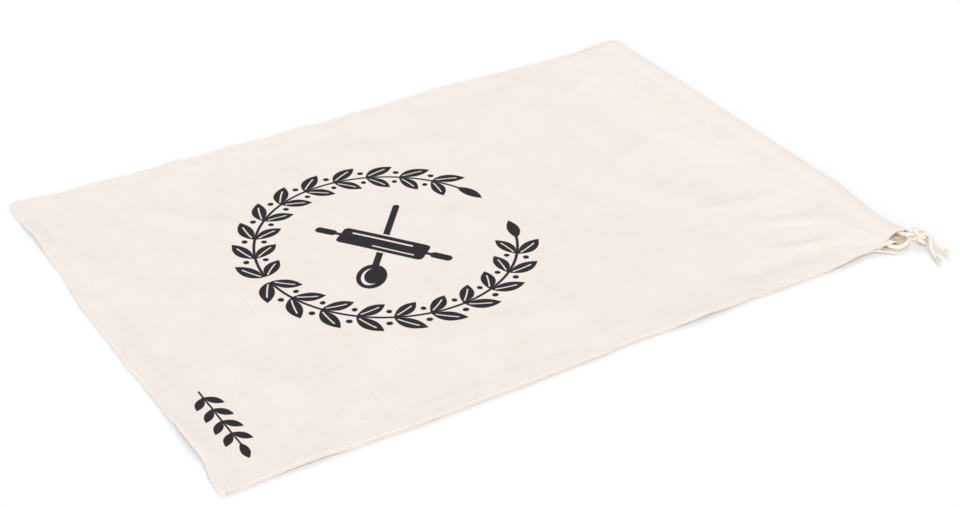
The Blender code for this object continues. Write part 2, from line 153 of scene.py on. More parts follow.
# The drawstring's way outside the knot, in metres
FRONT_WAY = (
    (0.1475, 0.2148, 0.0053), (0.1410, 0.2139, 0.0052), (0.1270, 0.2133, 0.0053),
    (0.1080, 0.2150, 0.0053), (0.0850, 0.2165, 0.0053), (0.0000, 0.2160, 0.0053),
    (-0.0600, 0.2165, 0.0053), (-0.1100, 0.2156, 0.0053), (-0.1360, 0.2163, 0.0053))
LEFT_TURN = (
    (-0.1400, 0.2150, 0.0050), (-0.1424, 0.2123, 0.0044), (-0.1431, 0.2097, 0.0040),
    (-0.1424, 0.2071, 0.0036), (-0.1400, 0.2044, 0.0030))
BACK_WAY = (
    (-0.1360, 0.2032, 0.0027), (-0.1100, 0.2026, 0.0027), (-0.0600, 0.2035, 0.0027),
    (0.0000, 0.2030, 0.0027), (0.0850, 0.2035, 0.0027), (0.1080, 0.2020, 0.0027),
    (0.1270, 0.2004, 0.0027), (0.1440, 0.2020, 0.0028), (0.1494, 0.2015, 0.0030),
    (0.1529, 0.2028, 0.0030), (0.1547, 0.2060, 0.0030), (0.1545, 0.2102, 0.0032))
FRONT_TAIL = (
    (0.1620, 0.2224, 0.0056), (0.1652, 0.2206, 0.0033), (0.1700, 0.2184, 0.0023),
    (0.1768, 0.2156, 0.0021))
BACK_TAIL = ((0.1650, 0.2258, 0.0028), (0.1730, 0.2267, 0.0021))
CORD, KNOT_CORD = 0.0028, 0.00245  # the cord's diameter, and squeezed in the knot
WAY_PARTS = 24  # steps between two points of the way
WAY_SPACING = 0.0005  # and between two rings of the cord
LEAST_CORD = 0.00005  # nothing of it lies lower


# ---- helpers

def ease(value):
    """0 to 1 with a smooth start and end."""
    value = np.clip(value, 0.0, 1.0)
    return value * value * (3.0 - 2.0 * value)


def read_rows(rows, along):
    """A smooth reading of a table of (along, value) rows."""
    places, values = np.array(rows, dtype=float).T
    along = np.clip(np.asarray(along, dtype=float), places[0], places[-1])
    start = np.clip(np.searchsorted(places, along, side="right") - 1, 0, len(places) - 2)
    share = ease((along - places[start]) / (places[start + 1] - places[start]))
    return values[start] + (values[start + 1] - values[start]) * share


def swell(x, y, kind):
    """Soft, even noise of a kind: its height, the size of a cell both ways, and its seed."""
    height, cell_x, cell_y, seed = kind
    side, start_x, start_y, spread = 64, 20.3, 20.7, 2.3  # the spread brings it to about -1 to 1
    table = np.random.default_rng(seed).uniform(-1.0, 1.0, (side, side))
    u, v = np.broadcast_arrays(x / cell_x + start_x, y / cell_y + start_y)
    i, j = np.floor(u).astype(int), np.floor(v).astype(int)

    def weights(part):
        """Shares of four neighbours in a cubic spline."""
        return ((1 - part) ** 3 / 6, (3 * part ** 3 - 6 * part ** 2 + 4) / 6,
                (-3 * part ** 3 + 3 * part ** 2 + 3 * part + 1) / 6, part ** 3 / 6)

    total = 0.0
    for a, share_x in enumerate(weights(u - i)):
        for b, share_y in enumerate(weights(v - j)):
            total = total + share_x * share_y * table[(i + a) % side, (j + b) % side]
    return height * spread * total


def unit(vectors):
    """The vectors at length 1."""
    return vectors / np.maximum(np.linalg.norm(vectors, axis=-1, keepdims=True), 1e-9)


def tube_faces(base, count, sides):
    """The faces of a closed tube of rings, whose first vertex is number base."""
    faces = []
    for k in range(count - 1):
        for side in range(sides):
            a, b = base + k * sides + side, base + k * sides + (side + 1) % sides
            faces.append((a, b, b + sides, a + sides))
    faces.append(tuple(base + side for side in range(sides - 1, -1, -1)))
    faces.append(tuple(base + (count - 1) * sides + side for side in range(sides)))
    return faces


def add_piece(name, vertices, faces, material, layer_name=None, marks=None):
    """A smooth object of one material, with a vector for each vertex that its material reads."""
    mesh = bpy.data.meshes.new(name)
    mesh.from_pydata(vertices, [], faces)
    mesh.shade_smooth()
    if layer_name:
        layer = mesh.attributes.new(layer_name, "FLOAT_VECTOR", "POINT")
        layer.data.foreach_set("vector", np.array(marks, dtype=np.float32).ravel())
    mesh.materials.append(material)
    mesh.update()
    piece = bpy.data.objects.new(name, mesh)
    bpy.context.collection.objects.link(piece)
    return piece


# ---- where the cloth lies

def corner_cut(from_side):
    """How far a round corner lies in from the straight edge."""
    inside = np.clip(CORNER - from_side, 0.0, CORNER)
    return CORNER - np.sqrt(np.maximum(CORNER ** 2 - inside ** 2, 0.0))


def edge_ripple(x, v):
    """Small waves of a sewn edge, which lift all its layers off the floor."""
    side = HALF_WIDTH - np.abs(x)
    by_side = (0.5 + swell(v, np.sign(x) * RIPPLE_ROW, SIDE_RIPPLE)) * np.exp(-side / RIPPLE_REACH)
    by_bottom = (0.5 + swell(x, 0.0 * v, BOTTOM_RIPPLE)) * np.exp(-v / RIPPLE_REACH)
    return RIPPLE_RISE * (np.maximum(by_side, 0) + np.maximum(by_bottom, 0))


def lift(x, v):
    """Height of the back cloth over the floor."""
    places = {"bottom": (x, v), "right": (v, HALF_WIDTH - x), "left": (v, HALF_WIDTH + x)}
    height = edge_ripple(x, v)
    for edge, middle, half_length, reach, rise in LIFTS:
        along, inward = places[edge]
        height = height + rise * ease(1 - np.abs(along - middle) / half_length) * ease(1 - inward / reach)
    return height


def pucker(x, v):
    """Height of the ridges that run in from where a seam is drawn in."""
    edges = ((RIGHT_EDGE, v, HALF_WIDTH - x), (LEFT_EDGE, v, HALF_WIDTH + x), (BOTTOM_EDGE, x, v))
    return -PUCKER_RISE * sum(read_rows(edge, along) * ease(1 - inward / PUCKER_REACH)
                              for edge, along, inward in edges)


def folds(x, v):
    """Height of the front cloth's folds and hollows."""
    height = 0.0
    for start_x, start_y, end_x, end_y, half_width, rise in FOLDS:
        span_x, span_y = end_x - start_x, end_y - start_y
        length = math.hypot(span_x, span_y)
        share = ((x - start_x) * span_x + (v - start_y) * span_y) / length ** 2
        off_line = np.abs((x - start_x) * span_y - (v - start_y) * span_x) / length
        height = height + rise * ease(1 - off_line / half_width) * ease(
            FOLD_FULL - FOLD_FADE * np.abs(2 * share - 1))
    return height


def body_height(x, v):
    """Middle of the front cloth over the middle of the back cloth, in the body of the bag."""
    inward = np.minimum(HALF_WIDTH - np.abs(x), v)  # from the nearest seam
    loose = PUFF + pucker(x, v) + folds(x, v)
    loose = loose + swell(x, v, LOOSE_WAVE) + swell(x, v, LOOSE_WRINKLE)
    body = LAYER + np.maximum(loose, LEAST_PUFF)
    ripples = swell(x, v, SEAM_RIPPLE) * np.exp(-((inward - SEAM_RIPPLE_AT) / SEAM_RIPPLE_WIDTH) ** 2)
    free = ease((inward - STACK_REACH) / (SEAM_REACH - STACK_REACH))
    return STACK + (body - STACK) * free + np.maximum(ripples, SEAM_RIPPLE_LEAST)


def place_on_bag(x, v, lip):
    """The plan position of a point of the cloth, with the outline's unevenness."""
    from_side = HALF_WIDTH - np.abs(x)
    to_mouth = LENGTH - v
    side = np.where(x > 0, read_rows(RIGHT_EDGE, v), read_rows(LEFT_EDGE, v))
    side = side + swell(v, np.sign(x) * JITTER_ROW, SIDE_JITTER)
    out = side * ease(1 - from_side / EDGE_REACH)
    out = out + np.where(x > 0, read_rows(lip, to_mouth), 0.0) * ease(1 - from_side / LIP_REACH)
    down = (read_rows(BOTTOM_EDGE, x) + swell(x, 0.0 * v, BOTTOM_JITTER)) * ease(1 - v / EDGE_REACH)
    down = down - corner_cut(from_side) * ease(1 - v / (3 * CORNER))
    up = read_rows(MOUTH_EDGE, x) * ease(1 - (to_mouth - 1.2 * HEM_DEPTH) / (2 * EDGE_REACH))
    up = up - np.where(x < 0, corner_cut(from_side) * ease(1 - (to_mouth - CORNER) / (3 * CORNER)), 0.0)
    return np.sign(x) * (np.abs(x) + out), v - LENGTH / 2 - down + up


# ---- the casings, cut across

def back_hem_level(to_mouth):
    """The back hem, lifted by the back cord."""
    off_cord = np.abs(to_mouth - BACK_RUN) - TUNNEL_FLAT
    return HEM_LEVEL + TUNNEL * ease(1 - off_cord / TUNNEL_FALL)


def front_level(x, to_mouth):
    """Free level of the front cloth, from the body over both cords to the mouth's fold."""
    v = LENGTH - to_mouth
    ridge = back_hem_level(BACK_RUN) + 2 * LAYER + RIDGE_SLACK
    body = BACK_MID + body_height(x, v)
    tent = ease(1 - (to_mouth - BACK_RUN) / (TENT_END - BACK_RUN))
    level = body + (ridge - body) * tent
    toward_mouth = BACK_RUN - to_mouth
    level = level + (FRONT_TOP - ridge) * ease(toward_mouth / FRONT_CLIMB)
    level = level + LIP_RISE * ease((x - LIP_START) / LIP_LENGTH) * ease(toward_mouth / LIP_CLIMB)
    level = level - TIP_DROP * ease((x - TIP_START) / TIP_LENGTH) * ease((TIP_REACH - to_mouth) / TIP_FADE)
    creases = folds(x, v) * (1 - ease((CREASE_START - to_mouth) / CREASE_FADE)) * tent
    wave = CASING_WAVE_RISE * (0.5 + swell(x, to_mouth, CASING_WAVE)) + swell(x, to_mouth, CASING_WRINKLE)
    wave = wave * (1 - ease((x - CALM_START) / CALM_LENGTH))
    from_stitches = to_mouth - STITCH_LINE
    drawn = swell(x, to_mouth, STITCH_PUCKER) * ease(1 - abs(from_stitches) / PUCKER_WIDTH)
    groove = -GROOVE * math.exp(-(from_stitches / GROOVE_WIDTH) ** 2)
    return level + creases + (wave + drawn + groove) * tent


def held_level(x, to_mouth, free_level):
    """The front cloth, drawn from its free level down to the seam's level at the side seams."""
    seam_level = BACK_MID + STACK
    level = seam_level + (free_level - seam_level) * ease((HALF_WIDTH + x) / LEFT_CLOSING)
    open_end = ease(1 - (to_mouth - OPEN_FULL) / OPEN_CLOSING)
    right_share = np.maximum(open_end, ease((HALF_WIDTH - x) / SEAM_REACH))
    return seam_level + (level - seam_level) * right_share


def front_hem_level(x, to_mouth):
    """The front hem: over the back hem to the back cord's ridge, then straight on to its edge."""
    level = back_hem_level(to_mouth) + LAYER
    if to_mouth > BACK_RUN:
        ridge = back_hem_level(BACK_RUN) + LAYER
        tent = ease(1 - (to_mouth - BACK_RUN) / (TENT_END - BACK_RUN))
        level = ridge - (ridge - HEM_LEVEL - LAYER) * (1 - tent)
    return np.minimum(level, held_level(x, to_mouth, front_level(x, to_mouth)) - LAYER)


def fold_round(outer_level, hem_level):
    """The turned edge of a casing, from its outer layer to its hem: rows of (to_mouth, height)."""
    radius = np.abs(outer_level - hem_level) / 2
    middle = (outer_level + hem_level) / 2
    side = np.sign(outer_level - hem_level)
    turns = [math.pi * step / FOLD_STEPS for step in range(FOLD_STEPS + 1)]
    return [(radius + CLOTH / 2 - radius * math.sin(turn), middle + side * radius * math.cos(turn))
            for turn in turns]


# Where the grid's rows lie: in from a seam, then up the body, over the casing and along the hem
SEAM_STEPS = (0.0, 0.6, 1.2, 1.9, 2.7, 3.6, 4.8, 6.0, 7.4, 8.8, 10.3, 12.0, 14.0, 16.5, 19.0, 22.0)
BODY_ROWS = np.concatenate([SEAM_STEPS, np.linspace(SEAM_STEPS[-1], LENGTH - BODY_START, 162)[1:]])
SLOPE_ROWS = np.linspace(BODY_START, HEM_DEPTH + 0.8, 26)[1:]
TUNNEL_ROWS = np.linspace(HEM_DEPTH, BACK_RUN, 13)
TOP_ROWS = np.linspace(BACK_RUN, 3.6, 18)[1:]
HEM_ROWS = np.linspace(4.2, HEM_DEPTH, 22)
FOLD_STEPS = 8  # steps round the mouth's fold
FOLD_START = 3.0  # the front cloth folds at the level that it has this far in
MIDDLE_COLUMNS = 118


def columns():
    """X of the grid's columns."""
    left = np.array(SEAM_STEPS) - HALF_WIDTH
    middle = np.linspace(left[-1], -left[-1], MIDDLE_COLUMNS)[1:-1]
    return np.concatenate([left, middle, -left[::-1]])


def section(x, panel):
    """Rows of (to_mouth, height) of a panel at all its columns, and how many come before the fold."""
    front = panel == "front"
    rows = [(LENGTH - v, BACK_MID + (body_height(x, np.full_like(x, v)) if front else 0.0))
            for v in BODY_ROWS]
    for to_mouth in np.concatenate([SLOPE_ROWS, TUNNEL_ROWS, TOP_ROWS]):
        if front:
            level = held_level(x, to_mouth, front_level(x, to_mouth))
        else:
            stitched = UNDER_RISE * math.exp(-((to_mouth - STITCH_LINE) / UNDER_WIDTH) ** 2)
            level = BACK_MID + (stitched if to_mouth <= HEM_DEPTH else 0.0)
        rows.append((to_mouth, level))
    outer_rows = len(rows)
    outer = held_level(x, 0.0, front_level(x, FOLD_START)) if front else np.full_like(x, BACK_MID)
    rows += fold_round(outer, HEM_LEVEL + (LAYER if front else 0.0))
    for to_mouth in HEM_ROWS:
        rows.append((to_mouth, front_hem_level(x, to_mouth) if front else back_hem_level(to_mouth)))
    return [np.broadcast_arrays(x, *row)[1:] for row in rows], outer_rows


# ---- building a panel

NOSE_STEPS = 6  # steps round a turned edge
NOSE_PITCH, NOSE_LENGTH = 0.16, 0.97  # cloth taken up by one of them, and by the whole turn


def surface(panel):
    """The panel's middle surface: points, cloth coordinates, and the count of rows before the fold."""
    x = columns()
    rows, outer_rows = section(x, panel)
    points, cloth = [], []
    along = 0.0
    for index, (to_mouth, level) in enumerate(rows):
        v = LENGTH - to_mouth
        lip = FRONT_LIP if panel == "front" else BACK_LIP if index < outer_rows else BACK_HEM_LIP
        plan_x, plan_y = place_on_bag(x, v, lip)
        points.append(np.stack([plan_x, plan_y, level + lift(x, v)], axis=-1))
        middle = len(x) // 2
        if index:
            step = points[-1][middle] - points[-2][middle]
            along += math.hypot(step[1], step[2])
        cloth.append(np.stack([x, v if index < outer_rows else np.full_like(x, along)], axis=-1))
    return np.array(points), np.array(cloth), outer_rows


def turned_edge(edge, outward, normal, inner, inner_normal):
    """Points over a turned edge and along the allowance inside it: nose first, then the inner run."""
    radius = LAYER / 2
    run = []
    for step in range(1, NOSE_STEPS):
        turn = math.pi * step / NOSE_STEPS
        run.append(edge - normal * radius * (1 - math.cos(turn)) + outward * radius * math.sin(turn))
    return run + [place - way * LAYER for place, way in zip([edge] + inner, [normal] + inner_normal)]


def extended(points, cloth, outer_rows, turn):
    """The panel's grid with its seam allowances added, and which of its faces are cloth."""
    normal = unit(np.cross(np.gradient(points, axis=1), np.gradient(points, axis=0))) * turn
    inner = [k for k, from_seam in enumerate(SEAM_STEPS) if 0 < from_seam <= SEAM_ALLOWANCE][::2]
    extra = NOSE_STEPS + len(inner)
    count_rows, count_columns = points.shape[:2]
    grid = np.zeros((count_rows + extra, count_columns + 2 * extra, 3))
    place = np.zeros(grid.shape[:2] + (2,))
    real = np.zeros(grid.shape[:2], dtype=bool)
    body = (slice(extra, None), slice(extra, extra + count_columns))
    grid[body], place[body], real[body] = points, cloth, True

    reach = np.array([step * NOSE_PITCH for step in range(1, NOSE_STEPS)] + [NOSE_LENGTH]
                     + [NOSE_LENGTH + SEAM_STEPS[k] for k in inner])
    for side in (-1, 1):
        at = 0 if side < 0 else count_columns - 1
        edge, up = points[:outer_rows, at], normal[:outer_rows, at]
        outward = unit(np.cross(np.gradient(edge, axis=0), up)) * turn * side
        run = turned_edge(edge, outward, up, [points[:outer_rows, at - side * k] for k in inner],
                          [normal[:outer_rows, at - side * k] for k in inner])
        for k, line in enumerate(run):
            column = extra - 1 - k if side < 0 else extra + count_columns + k
            beside = (slice(extra, extra + outer_rows), column)
            grid[beside], real[beside] = line, True
            across = np.full(outer_rows, side * (HALF_WIDTH + reach[k]))
            place[beside] = np.stack([across, cloth[:outer_rows, at, 1]], axis=-1)

    edge, up = points[0], normal[0]
    outward = -unit(np.cross(up, np.gradient(edge, axis=0))) * turn
    run = turned_edge(edge, outward, up, [points[k] for k in inner], [normal[k] for k in inner])
    for k, line in enumerate(run):
        lower = (extra - 1 - k, body[1])
        grid[lower], real[lower] = line, True
        place[lower] = np.stack([cloth[0, :, 0], np.full(count_columns, -reach[k])], axis=-1)

    faces = real[:-1, :-1] & real[1:, :-1] & real[:-1, 1:] & real[1:, 1:]
    stub = extra + outer_rows + FOLD_STEPS
    stop = extra + int(np.searchsorted(columns(), HEM_STOP - HALF_WIDTH))
    faces[stub:, :stop] = False  # the hem's notch at the left
    clear_rows = extra + len([step for step in SEAM_STEPS if step < SEAM_ALLOWANCE + LAYER])
    faces[:clear_rows, :extra - NOSE_STEPS] = False  # clipped corners of the allowances
    faces[:clear_rows, extra + count_columns + NOSE_STEPS - 1:] = False
    first_casing = extra + len(BODY_ROWS) + len(SLOPE_ROWS) - 2
    faces[first_casing:, :extra - NOSE_STEPS] = False  # no allowance where the cord turns
    return grid, place, faces


def thick_cloth(name, grid, place, faces, turn, material):
    """A closed cloth of even thickness about the grid's faces."""
    rows, cols = np.nonzero(faces)
    width = grid.shape[1]
    corner = rows * width + cols
    quads = np.stack([corner, corner + 1, corner + width + 1, corner + width], axis=1)
    if turn < 0:
        quads = quads[:, ::-1]
    used, quads = np.unique(quads, return_inverse=True)
    quads = quads.reshape(-1, 4)
    points = grid.reshape(-1, 3)[used]
    places = place.reshape(-1, 2)[used]
    across = points[quads[:, 2]] - points[quads[:, 0]]
    face_normal = np.cross(across, points[quads[:, 3]] - points[quads[:, 1]])
    normal = np.zeros_like(points)
    for k in range(4):
        np.add.at(normal, quads[:, k], face_normal)
    normal = unit(normal)
    count = len(points)
    vertices = np.concatenate([points + normal * CLOTH / 2, points - normal * CLOTH / 2])
    vertices[:, 2] = np.maximum(vertices[:, 2], LEAST_HEIGHT)
    edges = np.concatenate([quads[:, [k, (k + 1) % 4]] for k in range(4)])
    code = np.minimum(edges[:, 0], edges[:, 1]) * count + np.maximum(edges[:, 0], edges[:, 1])
    _, first, times = np.unique(code, return_index=True, return_counts=True)
    rim = edges[first[times == 1]]
    rims = np.stack([rim[:, 1], rim[:, 0], rim[:, 0] + count, rim[:, 1] + count], axis=1)
    all_faces = np.concatenate([quads, quads[:, ::-1] + count, rims])
    # Share of the right side's own colour; at 0, on the wrong side and on the hem past the mouth, the cloth
    # shows the painted glow
    right_side_not_glow = ease((LENGTH + HEM_GLOW_START - places[:, 1]) / HEM_GLOW_FADE)
    marks = np.concatenate([np.column_stack([places, right_side_not_glow]),
                            np.column_stack([places, np.zeros(count)])])
    return add_piece(name, (vertices * MM).tolist(), all_faces.tolist(), material, "cloth", marks)


# ---- the drawstring

def knot_strands():
    """Both strands' ways through the knot: the second is the first, turned half over."""
    first = [Vector(row) * KNOT_STEP for row in KNOT_STRAND]
    second = [Vector((-row.x, row.y, -row.z)) for row in reversed(first)]
    knot = Matrix.Translation(KNOT_PLACE) @ Matrix.Rotation(KNOT_TURN, 4, "Z")
    return [[knot @ row for row in strand] for strand in (first, second)]


def drawstring_way():
    """A smooth way for the whole cord, tail to tail, with its diameter, evenly spaced, in metres."""
    front_strand, back_strand = knot_strands()
    stretches = ((reversed(FRONT_TAIL), CORD), (reversed(front_strand), KNOT_CORD), (FRONT_WAY, CORD),
                 (LEFT_TURN, CORD), (BACK_WAY, CORD), (back_strand, KNOT_CORD), (BACK_TAIL, CORD))
    way = [(Vector(point), thick) for stretch, thick in stretches for point in stretch]
    places = [point for point, thick in way]
    ahead = [2 * places[0] - places[1]] + places + [2 * places[-1] - places[-2]]
    read, thicks = [], []
    for index in range(len(places) - 1):
        before, start, end, after = ahead[index:index + 4]
        step = (end - start).length
        start_pull = (end - before) * step / (step + (start - before).length)
        end_pull = (after - start) * step / (step + (after - end).length)
        for part in range(WAY_PARTS):
            u = part / WAY_PARTS
            read.append((2 * u ** 3 - 3 * u ** 2 + 1) * start + (u ** 3 - 2 * u ** 2 + u) * start_pull
                        + (3 * u ** 2 - 2 * u ** 3) * end + (u ** 3 - u ** 2) * end_pull)
            thicks.append(way[index][1] + (way[index + 1][1] - way[index][1]) * float(ease(u)))
    read.append(places[-1])
    thicks.append(way[-1][1])
    points = np.array([list(point) for point in read])
    far = np.concatenate([[0], np.cumsum(np.linalg.norm(np.diff(points, axis=0), axis=1))])
    even = np.linspace(0.0, far[-1], int(far[-1] / WAY_SPACING) + 1)
    spaced = np.stack([np.interp(even, far, points[:, k]) for k in range(3)], axis=1)
    return spaced, np.interp(even, far, thicks), even


def carried_frames(points):
    """Unit tangents and two square directions, carried along the way without turning."""
    tangent = unit(np.gradient(points, axis=0))
    across = np.zeros_like(tangent)
    across[0] = unit(np.cross(tangent[0], (0.0, 0.0, 1.0)))
    for k in range(1, len(points)):
        across[k] = unit(across[k - 1] - tangent[k] * np.dot(across[k - 1], tangent[k]))
    return tangent, across, np.cross(tangent, across)


LAY_LENGTH = 0.0088  # one full turn of the three plies
PLY_OFF = 0.40  # a ply's middle from the cord's, in cord radii
PLY_RADIUS = 0.60
CORD_SIDES = 24
END_TRIM = 0.004  # the plies stop this far before the way's ends, and the frays go on

# The frays' yarns.  A pair is a least and a most.
YARNS, YARN_STEPS, YARN_SIDES = 44, 7, 5
YARN_OFF = (0.02, 0.9)  # its root's place in the cut, as a share of the cut's area
YARN_ROOT, YARN_SPREAD = 0.0012, 0.85  # how deep in the cord it starts, and how far to the side
YARN_LENGTH = (0.0042, 0.0066)
YARN_RADIUS = (0.00020, 0.00030)
YARN_TAPER = 0.55  # the share of its radius that it loses to its tip
YARN_SPLAY, MIDDLE_SPLAY = (0.03, 0.30), 0.3
YARN_BEND = 0.12
YARN_REST = 0.00004  # its least height over the floor


def make_cord(material, yarn_material):
    """The drawstring's three-ply tube, its two frayed ends, and its way."""
    points, thick, far = drawstring_way()
    trim = int(END_TRIM / WAY_SPACING)
    last = len(points) - trim - 1
    tangent, across, up = carried_frames(points)
    third = 2 * math.pi / 3
    vertices, marks = [], []
    for k in range(trim, last + 1):
        turn = 2 * math.pi * far[k] / LAY_LENGTH
        for side in range(CORD_SIDES):
            own = 2 * math.pi * side / CORD_SIDES
            lobe = (own + third / 2) % third - third / 2
            reach = PLY_OFF * math.cos(lobe) + math.sqrt(PLY_RADIUS ** 2 - (PLY_OFF * math.sin(lobe)) ** 2)
            reach *= thick[k] / 2
            point = points[k] + reach * (across[k] * math.cos(own + turn) + up[k] * math.sin(own + turn))
            point[2] = max(point[2], LEAST_CORD)
            vertices.append(tuple(point))
            marks.append((far[k] / MM, lobe, own))
    faces = tube_faces(0, last + 1 - trim, CORD_SIDES)
    cord = add_piece("drawcord", vertices, faces, material, "cord", marks)
    ends = [make_fray(name, points[k], tangent[k] * way, across[k], thick[k], yarn_material, seed)
            for name, k, way, seed in (("front_tail_fray", trim, -1.0, 5), ("back_tail_fray", last, 1.0, 6))]
    return cord, ends, points


def make_fray(name, place, ahead, across, thick, material, seed):
    """The cord's untwisted yarns at a cut end."""
    draw = np.random.default_rng(seed)
    up = np.cross(ahead, across)
    vertices, faces, marks = [], [], []
    for _ in range(YARNS):
        turn, off = draw.uniform(0, 2 * math.pi), math.sqrt(draw.uniform(*YARN_OFF)) * thick / 2
        out = across * math.cos(turn) + up * math.sin(turn)
        length = draw.uniform(*YARN_LENGTH)
        splay = draw.uniform(*YARN_SPLAY) * (MIDDLE_SPLAY + off / (thick / 2))
        bend = draw.normal(0, YARN_BEND, 3)
        width = draw.uniform(*YARN_RADIUS)
        start = place - ahead * YARN_ROOT + out * off * YARN_SPREAD
        faces += tube_faces(len(vertices), YARN_STEPS, YARN_SIDES)
        for k in range(YARN_STEPS):
            share = k / (YARN_STEPS - 1)
            point = start + ahead * length * share + out * length * splay * share ** 1.6
            point = point + bend * length * share ** 2 * 0.5
            radius = width * (1.0 - YARN_TAPER * share)
            point[2] = max(point[2], radius + YARN_REST)
            for side in range(YARN_SIDES):
                own = 2 * math.pi * side / YARN_SIDES
                spot = point + radius * (across * math.cos(own) + up * math.sin(own))
                vertices.append(tuple(spot))
                marks.append((length / MM * share, 0.0, own))
    return add_piece(name, vertices, faces, material, "cord", marks)


# ---- the casing's stitches

STITCH_PITCH = 3.0
STITCH_GAP = 0.08  # share of the pitch before and after a stitch
STITCH_START, STITCH_END = 2.5, 1.2  # the row stops this far from the seams
STITCH_STEPS, STITCH_SIDES = 7, 6
STITCH_SUNK, STITCH_BOW = 0.22, 0.26  # its ends lie below the cloth's face, and its middle bows up
STITCH_SLANT = 0.12
THREAD, THREAD_TIP = 0.17, 0.55  # the thread's radius, and the share of it at a stitch's ends


def make_stitches(name, grid_points, row, turn, material):
    """Lockstitches along one row of a panel, half sunk into its right side."""
    line = grid_points[row]
    normal = unit(np.cross(np.gradient(grid_points, axis=1), np.gradient(grid_points, axis=0)))[row] * turn
    far = np.concatenate([[0], np.cumsum(np.linalg.norm(np.diff(line, axis=0), axis=1))])
    vertices, faces = [], []
    for index in range(int((far[-1] - STITCH_END - STITCH_START) / STITCH_PITCH)):
        faces += tube_faces(len(vertices), STITCH_STEPS, STITCH_SIDES)
        for k in range(STITCH_STEPS):
            share = k / (STITCH_STEPS - 1)
            at = STITCH_START + STITCH_PITCH * (index + STITCH_GAP + (1 - 2 * STITCH_GAP) * share)
            middle = np.array([np.interp(at, far, line[:, c]) for c in range(3)])
            way = np.array([np.interp(at, far, normal[:, c]) for c in range(3)])
            bow = math.sin(math.pi * share)
            middle = middle + way * (CLOTH / 2 - STITCH_SUNK + STITCH_BOW * bow ** 0.6)
            middle[1] += STITCH_SLANT * (share - 0.5)
            radius = THREAD * (THREAD_TIP + (1 - THREAD_TIP) * bow ** 0.5)
            for side in range(STITCH_SIDES):
                own = 2 * math.pi * side / STITCH_SIDES
                spot = middle + radius * (np.array([0, 1, 0]) * math.cos(own) + way * math.sin(own))
                spot[2] = max(spot[2], LEAST_HEIGHT / 2)
                vertices.append(tuple(spot * MM))
    return add_piece(name, vertices, faces, material)


# ---- materials

# The linen's two sides: a colour, and the darkest cloth's share of each of its parts
# The wrong side's warm, light colour and its weak dark shares are a painted glow: light coming through the
# thin linen into the casings
WRONG_SIDE_PAINTED_GLOW = ((0.980, 0.850, 0.720), (0.92, 0.90, 0.87))
RIGHT_SIDE = ((0.843, 0.781, 0.745), (0.80, 0.765, 0.71))
LIGHTEST, WHITEST = (1.09, 1.095, 1.10), 0.98
LINEN_SHEEN, LINEN_SPECULAR = 0.10, 0.25
WEAVE_PITCH = 0.56  # one yarn to the next
WEAVE_MIDDLE, WEAVE_SWING = 0.62, 0.34  # a yarn's mean height, and how far it goes over and under
YARN_WANDER = 0.9  # how far it wanders off straight
INK = (0.020, 0.018, 0.021)
INK_EDGE = 0.35  # over this width, an edge of the print goes from bare to full
WREATH_AT, UTENSILS_AT, SPRIG_AT = (-2.0, 173.0), (-2.0, 171.0), (99.0, 21.0)
# Cotton and thread: darkest and lightest
COTTON_CORD = ((0.79, 0.68, 0.56), (0.95, 0.885, 0.79))
# The frays' yarns are the cord's cotton, painted lighter to offset the shade among them
COTTON_YARN_PAINTED_LIGHTER = ((0.90, 0.82, 0.73), (0.98, 0.945, 0.88))
THREAD_COLOURS = ((0.66, 0.58, 0.49), (0.86, 0.79, 0.70))


class Value:
    """A number in a material's node tree, worked with like a plain number."""

    def __init__(self, tree, socket):
        self.tree, self.socket = tree, socket

    def work(self, operation, *others, clamp=False):
        """A Math node of this value and others."""
        node = self.tree.nodes.new("ShaderNodeMath")
        node.operation = operation
        node.use_clamp = clamp
        for slot, value in zip(node.inputs, (self,) + others):
            if isinstance(value, Value):
                self.tree.links.new(value.socket, slot)
            else:
                slot.default_value = value
        return Value(self.tree, node.outputs[0])

    def __add__(self, other):
        return self.work("ADD", other)

    def __sub__(self, other):
        return self.work("SUBTRACT", other)

    def __mul__(self, other):
        return self.work("MULTIPLY", other)

    def __neg__(self):
        return self.work("MULTIPLY", -1.0)

    def __abs__(self):
        return self.work("ABSOLUTE")

    def least(self, other):
        """The lesser of two: where two shapes overlap."""
        return self.work("MINIMUM", other)

    def most(self, other):
        """The greater of two: two shapes together."""
        return self.work("MAXIMUM", other)

    def root(self):
        return self.work("SQRT")

    def soft_step(self, width):
        """0 to 1 as the value passes 0, over the given width."""
        return self.work("MULTIPLY_ADD", 1.0 / width, 0.5, clamp=True)


def length_of(a, b):
    """The length of a way with these two parts."""
    return (a * a + b * b).root()


def turned(a, b, angle):
    """Two coordinates, read along axes turned by an angle."""
    c, s = math.cos(angle), math.sin(angle)
    return a * c + b * s, b * c - a * s


def leaf(along, across, half_length, half_width):
    """More than 0 inside a pointed leaf, in millimetres."""
    share = along * (1.0 / half_length)
    return (share * share * -half_width + half_width) - abs(across)


def bar(along, across, half_length, half_width, corner):
    """More than 0 inside a bar with round corners."""
    over_a = (abs(along) - (half_length - corner)).most(0.0)
    over_b = (abs(across) - (half_width - corner)).most(0.0)
    return -length_of(over_a, over_b) + corner


def oval(along, across, half_length, half_width):
    """More than 0 inside an oval."""
    return (-length_of(along * (1.0 / half_length), across * (1.0 / half_width)) + 1.0) * half_width


def noise(tree, vector, scale, detail, stretch=(1.0, 1.0, 1.0)):
    """Noise of about 0 to 1, at a scale for each direction."""
    mapping = tree.nodes.new("ShaderNodeVectorMath")
    mapping.operation = "MULTIPLY"
    mapping.inputs[1].default_value = stretch
    tree.links.new(vector, mapping.inputs[0])
    node = tree.nodes.new("ShaderNodeTexNoise")
    node.inputs["Scale"].default_value = scale
    node.inputs["Detail"].default_value = detail
    tree.links.new(mapping.outputs[0], node.inputs["Vector"])
    return Value(tree, node.outputs["Fac"])


